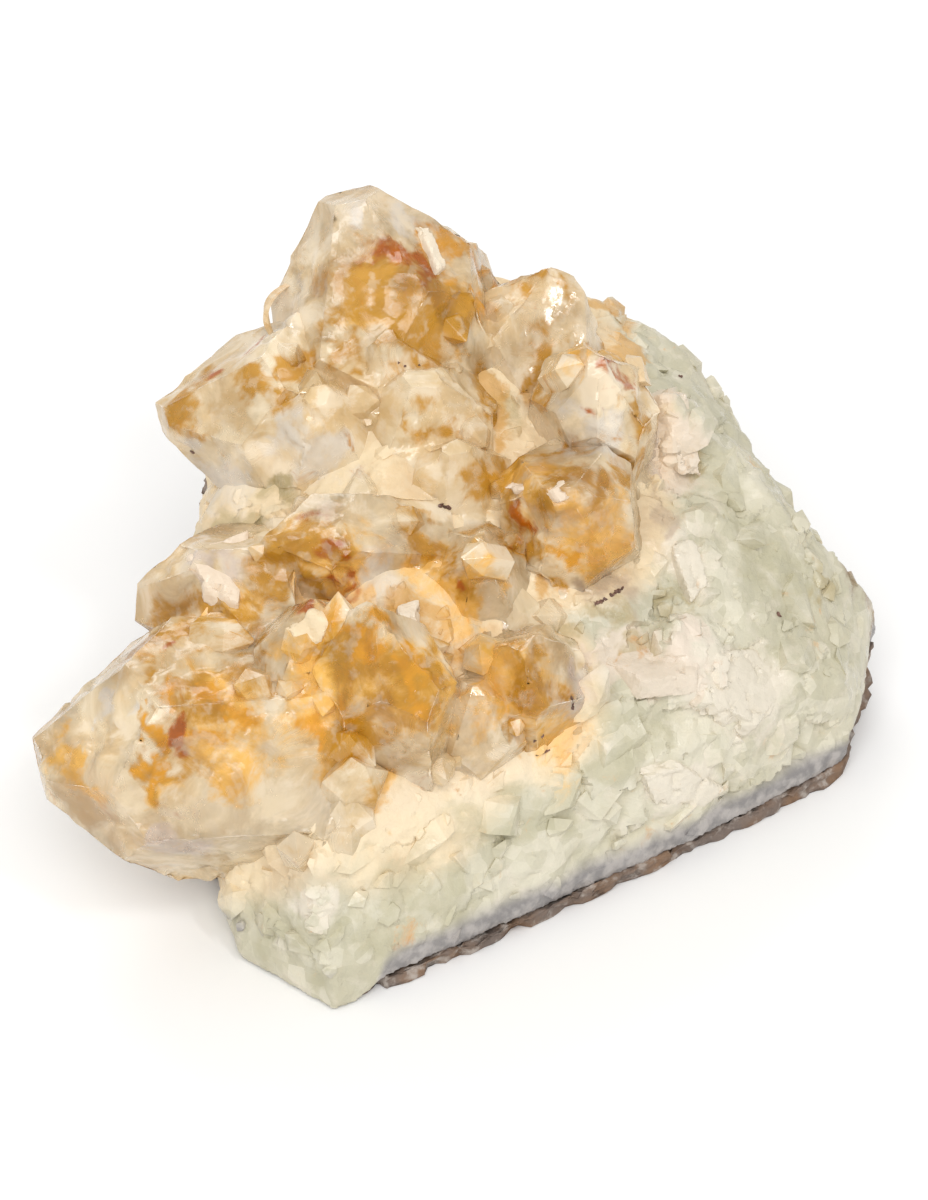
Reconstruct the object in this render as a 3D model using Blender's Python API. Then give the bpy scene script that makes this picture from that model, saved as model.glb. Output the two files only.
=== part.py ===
"""Citrine specimen: a broken piece of geode wall with citrine crystals on its inner side.

The wall lies on its outer skin of host rock. From the skin inwards it is a thin
band of banded chalcedony, a thick layer of pale green massive quartz, and the
crystals that grew from it. The wall curves up at the rear, as the side of the
cavity did. Sizes in the tables are millimetres; the model is in metres.

Directions: +X to the right of the show side, +Y to the rear, +Z up.
"""

import math
import random

import bmesh
import bpy
from mathutils import Matrix, Vector, noise

MM = 0.001

# Layers of the wall
RIND_THICKNESS = 2.0
PIECE_GAP = 0.3
RIND_EDGE_INSET = 3.5
RIND_FADE = 6.0
RIND_BLANK_TOP = 42.0

# Outline of the wall at each height above the floor: nine corners, starting at
# the near corner and going round to the right, as seen from above.
WALL_SECTIONS = (
    (0.0, (
        (-16, -0.5), (31, 29.6), (50.3, 43.3), (51.5, 51), (37, 60),
        (-2, 64), (-25, 56), (-36, 30), (-27.5, 9),
    )),
    (4.0, (
        (-16.5, -0.5), (31, 29.3), (51, 44.5), (55, 58), (42, 71),
        (-1, 77), (-29, 65), (-37.5, 34), (-29, 9),
    )),
    (10.0, (
        (-17.5, 1), (30, 29), (51.5, 45.5), (57.5, 63.5), (43.5, 77),
        (0, 88), (-32, 73), (-39, 41), (-30, 13),
    )),
    (18.0, (
        (-19, 4), (28, 29), (49, 44), (53.5, 61), (40.5, 79.5),
        (0, 94), (-33, 77), (-40, 44), (-29, 16),
    )),
    (25.0, (
        (-17, 8.5), (25, 32), (42, 45), (49, 61.5), (38.5, 81.5),
        (0, 98), (-35, 80), (-39, 46), (-26, 19),
    )),
    (32.0, (
        (-13, 16), (19, 35), (33, 47), (42.5, 60.5), (35.5, 85.5),
        (0, 99), (-34, 81), (-36, 50), (-22, 26),
    )),
    (39.0, (
        (-10, 30), (12, 44), (24, 53), (32, 67), (29.5, 88),
        (0, 99), (-30, 81), (-32, 56), (-19, 39),
    )),
    (45.0, (
        (-10, 46), (6, 54), (14, 61), (21, 72), (20.5, 89),
        (-2, 95), (-25, 81.5), (-27, 66), (-18, 53),
    )),
    (50.0, (
        (-10, 58), (-1, 63), (7, 70), (11, 78), (12, 87),
        (-4, 91), (-17, 83), (-19, 72), (-16, 62),
    )),
)
# Height at which the rind ends at each corner, where the wall is broken above it
RIND_TOP = (0.0, 0.0, 3.0, 13.0, 22.0, 38.0, 34.0, 10.0, 0.0)
POINTS_PER_EDGE = 6
RINGS_PER_SECTION = 3
BREAK_ROUGHNESS = 0.9
BREAK_GRAIN = 0.16
RIND_KNOB_HEIGHT = 0.35
RIND_KNOB_GRAIN = 0.48
# The roughness starts at nothing on the floor and is full at this height
ROUGH_FADE = 3.0
NOISE_SHIFTS = (Vector((0, 0, 0)), Vector((31, 7, 53)), Vector((-17, 43, 11)))

# Quartz: a six-sided prism closed by six faces, each leaning this far from the long axis
QUARTZ_SIDES = 6
QUARTZ_STEP = math.radians(60)
TERMINATION_LEAN = math.radians(38.2)

# Crystals: name, tip, root, radius across the corners, turn about the long axis
# in degrees, and how far the tip is broken off or blunt.
CRYSTALS = (
    ("top", (-16.5, 81, 71.5), (-7, 74, 40), 17.0, 10, 3.0),
    ("left_upper", (-41, 63, 46.5), (-17.5, 66.5, 42.5), 13.0, 20, 1.6),
    ("left_middle", (-43, 38, 34), (-22, 40, 34), 11.0, 0, 0.8),
    ("left_front", (-57, 22, 23), (-14, 24, 24.5), 16.0, 28, 2.6),
    ("middle_left", (-25.5, 38, 44), (-4.5, 46, 36), 8.5, 5, 0.3),
    ("front_left", (-19, 23.5, 48), (-18, 27.5, 16), 8.5, 15, 0.4),
    ("front_centre", (-11.5, 21, 49), (-10, 24, 14), 10.0, 0, 0.4),
    ("right_head", (12, 40, 52), (15, 56, 32), 10.5, 12, 1.2),
    ("right_upper", (17.5, 58, 60), (16.5, 64, 38), 9.0, 22, 1.0),
    ("right_ridge", (13.5, 79, 58.5), (4, 75, 38), 11.5, 8, 1.0),
    ("milky_left", (-19, 55, 56), (-17.5, 64.5, 36), 10.5, 17, 1.4),
    ("milky_centre", (-5.5, 57.5, 58), (-5, 64.5, 36), 11.0, 3, 1.4),
    ("milky_low", (-1, 50.5, 52), (-1, 57, 32), 9.5, 25, 1.2),
    ("milky_top", (-10, 63.5, 60), (-8.5, 68, 40), 9.0, 14, 0.8),
    ("centre_small", (2, 37, 46), (1, 45.5, 28), 8.5, 9, 0.6),
    ("front_right", (7, 24.5, 40), (8, 33, 16), 8.5, 21, 0.8),
    ("front_low", (1.5, 20.5, 36), (1, 30, 14), 7.5, 4, 0.6),
    ("white_block", (26, 37, 34), (30, 42, 12), 8.0, 30, 1.5),
    ("white_blade", (26.5, 65.5, 48), (29, 68, 28), 5.5, 12, 1.0),
    ("green_blade", (31.5, 55, 37), (32, 57, 20), 6.0, 26, 1.2),
    ("rear_left", (-31, 77, 46), (-20, 74, 32), 8.5, 6, 0.8),
    ("rear_right", (2, 83, 57), (-2, 81, 36), 8.5, 19, 0.8),
)
UNEVEN_SHAPE = 0.16
UNEVEN_FACES = 0.22
BLUNT_LEAN = 0.3
CUT_SLACK = 1e-7
# Plain colours of the two materials, as linear light
CITRINE_COLOUR = (0.75, 0.50, 0.22)
CITRINE_ROUGHNESS = 0.15
ROCK_COLOUR = (0.28, 0.20, 0.15)
ROCK_ROUGHNESS = 0.8
# A crystal grown all round by 1 mm stands this many millimetres taller
TIP_STRETCH = 2.0


def clear_scene():
    """Start from a scene with no objects."""
    for item in list(bpy.data.objects):
        bpy.data.objects.remove(item, do_unlink=True)


def new_collection(name):
    """A collection linked to the scene."""
    group = bpy.data.collections.new(name)
    bpy.context.scene.collection.children.link(group)
    return group


def new_object(name, mesh_builder, group):
    """An object made from a filled bmesh."""
    mesh = bpy.data.meshes.new(name)
    mesh_builder.to_mesh(mesh)
    mesh_builder.free()
    item = bpy.data.objects.new(name, mesh)
    group.objects.link(item)
    return item


def make_material(name, colour, roughness):
    """A plain Principled material."""
    material = bpy.data.materials.new(name)
    material.use_nodes = True
    shader = material.node_tree.nodes["Principled BSDF"]
    shader.inputs["Base Color"].default_value = (*colour, 1.0)
    shader.inputs["Roughness"].default_value = roughness
    return material


def outward(corners, index):
    """Unit vector pointing out of a counter-clockwise outline at one corner."""
    before = Vector(corners[index - 1])
    after = Vector(corners[(index + 1) % len(corners)])
    along = (after - before).normalized()
    return Vector((along.y, -along.x))


def shifted(corners, amounts):
    """The outline with each corner moved outwards by its amount."""
    return [
        Vector(corner) + outward(corners, index) * amounts[index]
        for index, corner in enumerate(corners)
    ]


def rind_cover(height):
    """How fully the rind covers each corner of the wall at a height, from 0 to 1."""
    return [min(1.0, max(0.0, (top - height) / RIND_FADE)) for top in RIND_TOP]


def section_at(height):
    """The outline part of the way between two sections."""
    for (low, low_corners), (high, high_corners) in zip(WALL_SECTIONS, WALL_SECTIONS[1:]):
        if low <= height <= high:
            part = (height - low) / (high - low)
            return [Vector(a).lerp(Vector(b), part) for a, b in zip(low_corners, high_corners)]
    raise ValueError("height outside the wall")


def outline_points(corners):
    """Points along the outline, evenly spaced between its corners."""
    points = []
    for index, corner in enumerate(corners):
        following = corners[(index + 1) % len(corners)]
        points += [corner.lerp(following, step / POINTS_PER_EDGE) for step in range(POINTS_PER_EDGE)]
    return points


def between(sections):
    """The sections with extra rings between each two."""
    rings = []
    for (low, low_corners), (high, high_corners) in zip(sections, sections[1:]):
        for step in range(RINGS_PER_SECTION):
            part = step / RINGS_PER_SECTION
            corners = [a.lerp(b, part) for a, b in zip(low_corners, high_corners)]
            rings.append((low + (high - low) * part, corners))
    rings.append(sections[-1])
    return rings


def loft(sections):
    """A closed solid through outlines that differ from each other."""
    builder = bmesh.new()
    rings = []
    for height, corners in between(sections):
        points = outline_points(corners)
        rings.append([builder.verts.new(Vector((p.x, p.y, height)) * MM) for p in points])
    count = len(rings[0])
    for low, high in zip(rings, rings[1:]):
        for index in range(count):
            after = (index + 1) % count
            builder.faces.new((low[index], low[after], high[after], high[index]))
    builder.faces.new(list(reversed(rings[0])))
    builder.faces.new(rings[-1])
    bmesh.ops.triangulate(builder, faces=builder.faces[:])
    return builder


def roughen(builder, height, grain, floor):
    """Move the points above the floor by smooth noise, as on a broken surface."""
    for vert in builder.verts:
        above = vert.co.z / MM - floor
        place = vert.co / MM * grain
        push = Vector([noise.noise(place + shift) for shift in NOISE_SHIFTS])
        vert.co += push * height * min(1.0, max(0.0, above / ROUGH_FADE)) * MM


def massive_quartz_builder():
    """The chalcedony and massive quartz of the wall, without the rind."""
    floor = RIND_THICKNESS + PIECE_GAP
    heights = [floor] + [height for height, corners in WALL_SECTIONS[1:]]
    sections = []
    for height in heights:
        inset = [-floor * cover for cover in rind_cover(height)]
        sections.append((height, shifted(section_at(height), inset)))
    builder = loft(sections)
    roughen(builder, BREAK_ROUGHNESS, BREAK_GRAIN, floor)
    return builder


def rind_blank_builder():
    """The whole wall out to its skin, drawn in where the skin has broken away."""
    heights = [WALL_SECTIONS[0][0], RIND_THICKNESS]
    heights += [height for height, corners in WALL_SECTIONS[1:] if height < RIND_BLANK_TOP]
    sections = []
    for height in heights:
        inset = [0.0] * len(RIND_TOP)
        if height > RIND_THICKNESS:
            inset = [-RIND_EDGE_INSET * (1.0 - cover) for cover in rind_cover(height)]
        sections.append((height, shifted(section_at(height), inset)))
    builder = loft(sections)
    roughen(builder, BREAK_ROUGHNESS, BREAK_GRAIN, 0.0)
    roughen(builder, RIND_KNOB_HEIGHT, RIND_KNOB_GRAIN, 0.0)
    return builder


def cut_plane(builder, point, normal):
    """Cut away what lies beyond a plane and close the cut."""
    geometry = builder.verts[:] + builder.edges[:] + builder.faces[:]
    result = bmesh.ops.bisect_plane(
        builder, geom=geometry, plane_co=point, plane_no=normal, clear_outer=True, dist=CUT_SLACK
    )
    rim = [item for item in result["geom_cut"] if isinstance(item, bmesh.types.BMEdge)]
    if rim:
        bmesh.ops.holes_fill(builder, edges=rim)


def crystal_builder(tip, root, radius, turn, blunt, seed, grow=0.0):
    """A quartz crystal: an uneven hexagonal prism with six leaning end faces."""
    chance = random.Random(seed)
    tip, root = Vector(tip) * MM, Vector(root) * MM
    axis = tip - root
    length = axis.length + grow * TIP_STRETCH * MM
    size = (radius + grow) * MM
    builder = bmesh.new()
    bmesh.ops.create_cone(
        builder, cap_ends=True, segments=QUARTZ_SIDES, radius1=size, radius2=size, depth=length * 2
    )
    wide = 1 + chance.uniform(-UNEVEN_SHAPE, UNEVEN_SHAPE)
    bmesh.ops.scale(builder, vec=(wide, 2 - wide, 1), verts=builder.verts[:])
    apex = Vector((0, 0, length))
    backs = [chance.uniform(0, UNEVEN_FACES) * size for index in range(QUARTZ_SIDES)]
    for index, back in enumerate(backs):
        angle = QUARTZ_STEP * (index + 0.5)
        steep = Vector((math.cos(angle), math.sin(angle), math.tan(TERMINATION_LEAN)))
        away = Vector((math.cos(angle), math.sin(angle), 0)) * (max(backs) - back)
        cut_plane(builder, apex + away, steep)
    if blunt:
        lean = Vector((
            chance.uniform(-BLUNT_LEAN, BLUNT_LEAN), chance.uniform(-BLUNT_LEAN, BLUNT_LEAN), 1
        ))
        top = max(vert.co.z for vert in builder.verts)
        cut_plane(builder, Vector((0, 0, top - blunt * MM)), lean)
    cut_plane(builder, Vector((0, 0, 0)), Vector((0, 0, -1)))
    place = Matrix.Translation(root) @ axis.to_track_quat("Z", "Y").to_matrix().to_4x4()
    place = place @ Matrix.Rotation(math.radians(turn), 4, "Z")
    bmesh.ops.transform(builder, matrix=place, verts=builder.verts[:])
    return builder


def add_boolean(item, name, operation, group):
    """Join or cut the object with a group of other solids."""
    modifier = item.modifiers.new(name, "BOOLEAN")
    modifier.operation = operation
    modifier.solver = "EXACT"
    modifier.operand_type = "COLLECTION"
    modifier.collection = group


def as_cutter(item):
    """Keep a helper solid out of the finished model."""
    item.hide_render = True
    item.display_type = "WIRE"


def add_crystals(group, prefix, grow=0.0):
    """Every crystal as a helper solid."""
    for seed, (name, tip, root, radius, turn, blunt) in enumerate(CRYSTALS):
        builder = crystal_builder(tip, root, radius, turn, blunt, seed, grow)
        as_cutter(new_object(prefix + name, builder, group))


def build_cluster(parts, helpers):
    """The chalcedony, massive quartz and crystals, grown together as one solid."""
    crystals = bpy.data.collections.new("crystals to join")
    helpers.children.link(crystals)
    add_crystals(crystals, "crystal_")
    cluster = new_object("citrine_cluster", massive_quartz_builder(), parts)
    add_boolean(cluster, "join crystals", "UNION", crystals)
    cluster.data.materials.append(make_material("citrine", CITRINE_COLOUR, CITRINE_ROUGHNESS))


def build_rind(parts, helpers):
    """The skin of host rock under and behind the wall."""
    builder = massive_quartz_builder()
    builder.normal_update()
    moves = [vert.normal * PIECE_GAP * MM for vert in builder.verts]
    for vert, move in zip(builder.verts, moves):
        vert.co += move
    room = bpy.data.collections.new("room for quartz")
    helpers.children.link(room)
    as_cutter(new_object("room_for_wall", builder, room))
    add_crystals(room, "room_for_", PIECE_GAP)
    rind = new_object("rock_rind", rind_blank_builder(), parts)
    add_boolean(rind, "make room for quartz", "DIFFERENCE", room)
    rind.data.materials.append(make_material("host rock", ROCK_COLOUR, ROCK_ROUGHNESS))


def centre_on_floor(parts):
    """Move everything so that the origin is under the middle of the specimen's box."""
    bpy.context.view_layer.update()
    graph = bpy.context.evaluated_depsgraph_get()
    points = []
    for item in parts.objects:
        mesh = item.evaluated_get(graph).data
        points += [item.matrix_world @ vert.co for vert in mesh.vertices]
    middle_x = (min(p.x for p in points) + max(p.x for p in points)) / 2
    middle_y = (min(p.y for p in points) + max(p.y for p in points)) / 2
    for item in bpy.data.objects:
        item.location -= Vector((middle_x, middle_y, 0))


def main():
    """Build the specimen."""
    clear_scene()
    parts = new_collection("citrine specimen")
    helpers = new_collection("cutters")
    build_cluster(parts, helpers)
    build_rind(parts, helpers)
    centre_on_floor(parts)


main()
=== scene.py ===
"""Looks of the citrine specimen: clear crystals over milky quartz, with veils and inclusions sealed in."""

import math
import random

import bmesh
import bpy
import numpy as np
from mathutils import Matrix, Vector, noise
from mathutils.bvhtree import BVHTree
from mathutils.kdtree import KDTree


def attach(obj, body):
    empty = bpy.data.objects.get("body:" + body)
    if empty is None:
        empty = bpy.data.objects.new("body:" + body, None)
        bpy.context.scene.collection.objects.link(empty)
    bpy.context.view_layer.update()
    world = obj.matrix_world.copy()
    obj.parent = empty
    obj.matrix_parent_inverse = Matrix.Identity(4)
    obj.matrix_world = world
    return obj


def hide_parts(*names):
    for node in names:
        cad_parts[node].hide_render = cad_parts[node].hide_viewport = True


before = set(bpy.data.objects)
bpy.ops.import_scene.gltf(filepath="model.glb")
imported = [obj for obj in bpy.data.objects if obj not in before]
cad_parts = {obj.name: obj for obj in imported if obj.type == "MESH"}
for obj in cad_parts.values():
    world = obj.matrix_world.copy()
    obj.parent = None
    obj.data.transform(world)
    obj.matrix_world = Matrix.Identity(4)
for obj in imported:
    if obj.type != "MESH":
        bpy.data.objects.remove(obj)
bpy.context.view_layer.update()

MM = 0.001
# Where the row's origin lies in the crystal table's coordinates
TABLE_ORIGIN = (0.576, 49.215, 0.0)

# Crystals: tip, root and radius in millimetres, as in the solid, then how clear
# the crystal is (0 milky to 1 clear) and how amber (0 colourless to 1 deep).
CRYSTALS = {
    "top": ((-16.5, 81, 71.5), (-7, 74, 40), 17.0, 0.55, 0.3),
    "left_upper": ((-41, 63, 46.5), (-17.5, 66.5, 42.5), 13.0, 0.35, 0.3),
    "left_middle": ((-43, 38, 34), (-22, 40, 34), 11.0, 0.6, 0.6),
    "left_front": ((-57, 22, 23), (-14, 24, 24.5), 16.0, 0.55, 0.3),
    "middle_left": ((-25.5, 38, 44), (-4.5, 46, 36), 8.5, 0.7, 0.7),
    "front_left": ((-19, 23.5, 48), (-18, 27.5, 16), 8.5, 0.7, 0.6),
    "front_centre": ((-11.5, 21, 49), (-10, 24, 14), 10.0, 0.7, 0.7),
    "right_head": ((12, 40, 52), (15, 56, 32), 10.5, 0.6, 0.5),
    "right_upper": ((17.5, 58, 60), (16.5, 64, 38), 9.0, 0.4, 0.4),
    "right_ridge": ((13.5, 79, 58.5), (4, 75, 38), 11.5, 0.4, 0.3),
    "milky_left": ((-19, 55, 56), (-17.5, 64.5, 36), 10.5, 0.2, 0.1),
    "milky_centre": ((-5.5, 57.5, 58), (-5, 64.5, 36), 11.0, 0.2, 0.1),
    "milky_low": ((-1, 50.5, 52), (-1, 57, 32), 9.5, 0.2, 0.2),
    "milky_top": ((-10, 63.5, 60), (-8.5, 68, 40), 9.0, 0.3, 0.3),
    "centre_small": ((2, 37, 46), (1, 45.5, 28), 8.5, 0.5, 0.2),
    "front_right": ((7, 24.5, 40), (8, 33, 16), 8.5, 0.6, 0.5),
    "front_low": ((1.5, 20.5, 36), (1, 30, 14), 7.5, 0.5, 0.4),
    "white_block": ((26, 37, 34), (30, 42, 12), 8.0, 0.0, 0.0),
    "white_blade": ((26.5, 65.5, 48), (29, 68, 28), 5.5, 0.1, 0.1),
    "green_blade": ((31.5, 55, 37), (32, 57, 20), 6.0, 0.1, 0.0),
    "rear_left": ((-31, 77, 46), (-20, 74, 32), 8.5, 0.4, 0.3),
    "rear_right": ((2, 83, 57), (-2, 81, 36), 8.5, 0.4, 0.3),
}
# Cosines of the angle between a crystal's long axis and the normals of its faces
PRISM_COSINE = 0.0
END_COSINE = math.sin(math.radians(38.2))
COSINE_SLACK = 0.004
# A broken tip's faces: how square they are, how far down they reach and how wide
TIP_COSINE = 0.8
TIP_HEIGHT = 5 * MM
TIP_REACH = 0.6
# How far past a crystal's ends and sides its faces may lie
OWNER_SLACK = 2 * MM
OWNER_REACH = 1.2

# Patches of colour and inclusions, placed where the photograph shows them:
# the two ends of a stroke, each across and down, and its radius, in pixels
MARKS = {
    "deep": (
        (384, 253, 426, 270, 7), (207, 352, 255, 346, 4), (606, 366, 626, 372, 6),
        (583, 398, 590, 412, 4), (514, 512, 524, 528, 6), (320, 518, 326, 548, 6),
        (330, 598, 345, 600, 6), (342, 575, 348, 590, 4), (285, 612, 300, 616, 5),
        (448, 575, 458, 590, 5), (176, 652, 214, 634, 4), (177, 718, 190, 755, 6),
        (380, 256, 420, 268, 9),
    ),
    "amber": (
        (375, 290, 440, 310, 30), (160, 640, 230, 620, 16), (540, 500, 570, 470, 12),
        (355, 290, 440, 290, 24), (395, 300, 415, 330, 16), (372, 262, 400, 262, 12),
        (386, 300, 390, 325, 6), (320, 330, 345, 320, 8), (520, 282, 570, 286, 8),
        (590, 300, 625, 318, 7), (205, 372, 265, 385, 10), (185, 398, 180, 420, 9),
        (240, 395, 275, 400, 10), (200, 430, 190, 440, 6), (350, 350, 351, 388, 4),
        (330, 345, 300, 365, 8), (400, 345, 440, 350, 10), (412, 425, 452, 428, 8),
        (480, 385, 500, 420, 13), (530, 385, 548, 400, 7), (532, 372, 560, 338, 8),
        (560, 338, 640, 360, 7), (628, 392, 642, 425, 8), (498, 470, 512, 515, 11),
        (520, 458, 570, 445, 9), (588, 482, 640, 468, 11), (520, 540, 535, 552, 8),
        (560, 600, 545, 585, 5), (520, 660, 548, 705, 12), (515, 735, 525, 745, 8),
        (345, 650, 420, 700, 18), (345, 740, 372, 800, 12), (275, 560, 320, 540, 17),
        (300, 580, 322, 600, 10), (415, 540, 455, 560, 10), (442, 560, 472, 598, 10),
        (400, 510, 430, 520, 7), (475, 480, 470, 530, 8), (262, 540, 275, 600, 8),
        (170, 610, 235, 605, 12), (180, 630, 220, 622, 8), (240, 640, 262, 650, 10),
        (230, 668, 262, 690, 8), (165, 690, 200, 700, 10), (180, 770, 205, 780, 8),
        (156, 685, 160, 800, 6), (100, 650, 140, 668, 5), (545, 345, 630, 350, 12),
        (370, 280, 450, 300, 26), (350, 740, 372, 700, 16), (410, 690, 430, 660, 14),
        (400, 605, 440, 640, 14), (385, 300, 420, 310, 16),
    ),
    "orange": (
        (428, 240, 495, 285, 8), (455, 275, 480, 300, 8), (568, 556, 580, 560, 8),
        (338, 628, 365, 640, 7), (392, 628, 425, 705, 7), (322, 730, 350, 705, 7),
        (198, 742, 248, 724, 7), (210, 700, 255, 710, 4), (157, 690, 158, 790, 4),
    ),
    "white": (
        (419, 232, 438, 268, 5), (352, 212, 352, 226, 6), (396, 206, 400, 224, 8),
        (210, 468, 228, 485, 17), (300, 425, 322, 452, 17), (668, 545, 700, 590, 12),
        (700, 665, 768, 700, 26), (655, 788, 712, 778, 12), (368, 562, 392, 592, 13),
        (96, 706, 146, 704, 3), (560, 700, 590, 690, 14), (290, 905, 320, 910, 9),
        (580, 415, 600, 445, 12),
    ),
    "olive": (
        # The first olive stroke lies in a hollow between crystals and paints its shade there
        (505, 408, 525, 420, 12), (703, 445, 708, 470, 6), (565, 632, 612, 622, 6),
        (664, 592, 688, 612, 6), (628, 650, 640, 640, 6), (820, 590, 830, 600, 8),
        (205, 528, 250, 515, 9), (255, 510, 292, 498, 8),
    ),
    "gold": (
        (575, 365, 600, 350, 10), (555, 510, 592, 535, 18), (500, 700, 545, 700, 18),
        (480, 660, 490, 720, 14), (320, 660, 440, 680, 30), (330, 780, 370, 790, 14),
        (60, 745, 85, 790, 12), (150, 800, 170, 790, 8), (185, 625, 235, 605, 18),
        (285, 545, 335, 560, 24), (215, 700, 235, 760, 24), (330, 690, 420, 680, 32),
        (505, 660, 555, 735, 20), (530, 470, 610, 550, 22), (435, 565, 475, 580, 18),
        (360, 320, 450, 325, 14), (445, 600, 470, 620, 12),
    ),
    "pale": (
        (575, 430, 600, 450, 26), (625, 480, 635, 560, 14), (300, 620, 312, 650, 10),
        (405, 620, 410, 665, 6), (250, 835, 420, 835, 18), (250, 780, 262, 800, 20),
        (60, 700, 130, 700, 20), (60, 760, 130, 790, 20), (175, 845, 240, 810, 16),
    ),
    "pink": (
        (518, 490, 562, 497, 8), (660, 395, 680, 470, 20), (612, 655, 690, 645, 18),
        (195, 558, 236, 565, 9), (215, 570, 234, 595, 9), (165, 845, 200, 850, 14),
        (575, 650, 570, 720, 12),
    ),
    "umber": (
        (656, 500, 662, 520, 9), (598, 598, 618, 602, 11),
    ),
    "green": (
        (400, 890, 450, 900, 18), (300, 940, 390, 930, 14),
        (715, 455, 730, 500, 18), (545, 815, 560, 810, 14), (590, 770, 640, 740, 16),
        (760, 560, 800, 580, 16), (420, 840, 520, 800, 12), (380, 850, 350, 860, 9),
        (260, 920, 330, 940, 12),
    ),
    "dark": (
        (440, 505, 450, 508, 3), (398, 363, 399, 363, 1.5), (405, 366, 406, 366, 1.5),
        (420, 365, 421, 365, 1.5), (680, 376, 681, 377, 2.5), (780, 613, 782, 614, 3),
        (192, 452, 193, 453, 2.5), (596, 604, 604, 600, 3), (610, 596, 622, 590, 3),
        (572, 698, 573, 708, 2.5), (535, 742, 545, 736, 2.5), (538, 755, 552, 750, 2),
    ),
    "peach": (
        (230, 800, 250, 840, 22), (300, 820, 420, 820, 26), (470, 790, 540, 760, 16),
        (230, 300, 300, 300, 14),
    ),
}
# Rust on the rock skin's right end: two ends and a radius in millimetres, in the row frame
RUST_STROKES = (
    ((50, -4.5, 3.5), (54, 5, 6), 1.5),
    ((54, 5, 6), (57, 14, 12), 2),
    ((57, 14, 12), (53.5, 13, 20), 2),
)

# Loose-looking chips and blades: the kind of patch they match and the corners of their
# outer faces, across and down the photograph in pixels
CHIPS = (
    ("pink", ((186, 556), (248, 535), (237, 608), (206, 590))),
    ("white", ((397, 612), (419, 605), (413, 674))),
    ("white", ((640, 772), (676, 761), (720, 785), (702, 806), (655, 802))),
    ("pink", ((511, 484), (560, 487), (567, 498), (530, 506))),
    ("white", ((416, 228), (426, 231), (444, 268), (436, 273))),
    ("pale", ((290, 626), (312, 607), (331, 618), (312, 662))),
    ("pink", ((604, 652), (650, 638), (702, 648), (692, 692), (640, 702))),
    ("white", ((700, 652), (760, 648), (784, 690), (742, 730), (690, 706))),
    ("white", ((668, 545), (692, 540), (706, 585), (690, 602))),
    ("pink", ((655, 395), (680, 400), (690, 470), (662, 480))),
)
# Large angular grains of the wall: across and down in pixels, and a size in millimetres
BLOCKS = (
    (590, 700, 4), (625, 740, 4.5), (720, 745, 4), (790, 660, 4), (800, 600, 4), (835, 625, 3.5),
    (760, 540, 4.5), (730, 470, 4), (700, 590, 3.5), (650, 560, 3), (700, 520, 3.5), (560, 790, 3.5),
    (500, 820, 4), (430, 850, 4), (350, 850, 4.5), (280, 860, 4), (240, 900, 3.5), (300, 940, 3.5),
    (400, 910, 3), (600, 800, 3.5), (680, 820, 3), (780, 740, 3.5), (690, 360, 3), (740, 420, 3),
    (780, 490, 3.5), (670, 330, 2.5), (640, 325, 2.5),
)

# Small crystals seen at their own places: across and down in pixels, and a radius in millimetres
SEEN_CRYSTALS = (
    (350, 745, 3.6), (354, 775, 4.2), (350, 805, 3.8), (344, 832, 3.4), (300, 852, 3), (575, 368, 2.6),
    (300, 648, 3), (482, 655, 2.8), (470, 560, 2.8), (402, 520, 2.6), (250, 690, 3), (235, 640, 2.8),
    (540, 620, 2.6), (300, 505, 2.4), (470, 430, 2.6), (360, 400, 2.6), (290, 360, 2.4), (455, 330, 2.6),
    (500, 310, 2.4),
)

# Geometry of the looks
SMALL_COUNT = 30
GRAIN_COUNT = 300
GRAIN_LOWEST = 4 * MM
CHIP_OUT = Vector((0, -0.6, 0.8))
CHIP_RISE = 0.9 * MM
CHIP_ROOT = 2.2 * MM
CHIP_VOXEL = 0.4 * MM
SMALL_LOWEST = 20 * MM
MILKY_CLEARNESS = 0.12
SKIN_EDGE = 1.1 * MM
VEIL_TRIES = 40
VEIL_MARGIN = 0.25 * MM
VEIL_THICKNESS = 0.1 * MM
EDGE_BEVEL = 0.28 * MM
FLAT_ANGLE = math.radians(0.6)
SHARP_ANGLE = math.radians(12)
CREASE_ANGLE = math.radians(15)
SKIN_SINK = 1.6 * MM
HEART_DEPTH_SHARE_MILKY = 0.05
HEART_DEPTH_SHARE_CLEAR = 0.24
HEART_TIP_DROP = 1.3
HEART_VOXEL = 0.6 * MM
AGATE_DEPTH = 3.2
# What a piece out on the wall is given: its distance from the rock skin and its relief
FAR_GAP = 9.0
GRAIN_LEVEL = 0.2
# Relief of angular grains: their spacing in millimetres, the planes that cut each, and a seed
SKIN_GRAIN = (3.4, 7, 17)
SKIN_FINE_GRAIN = (1.8, 7, 19)
CHIP_GRAIN = (2.4, 6, 29)
HEART_GRAIN = (6.0, 6, 3)
HEART_FINE_GRAIN = (2.6, 6, 5)
RIND_GRAIN = (2.8, 7, 11)
SMALL_SEED = 5
VEIL_SEED = 23
INCLUSION_SEED = 31
BLOCK_SEED = 7
BLOCK_CORNERS = 11
INCLUSION_CORNERS = 10
# Where a crystal's looks begin and end, as shares of its radius and of its length
CRYSTAL_RIM = (0.8, 1.08)
CRYSTAL_FOOT = (0.15, 0.45)
CRYSTAL_AMBER = (0.4, 0.95)
WARM_REACH = (1.0, 1.45)
# Faces that meet at less than this many degrees are shaded as one
SKIN_SMOOTH = 22
CHIP_SMOOTH = 20
HEART_SMOOTH = 18
RIND_SMOOTH = 35
RIND_EDGE = 1.4 * MM
HEART_EDGE = 2.5 * MM
SHARD_PATH = ((-23.5, 27.8, 57.4), (-28.2, 25, 56.5), (-25.6, 19.9, 54.9))
SHARD_WIDTH = 1.1
SHARD_THICKNESS = 0.32
MARK_SPREAD = 1.35

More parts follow.
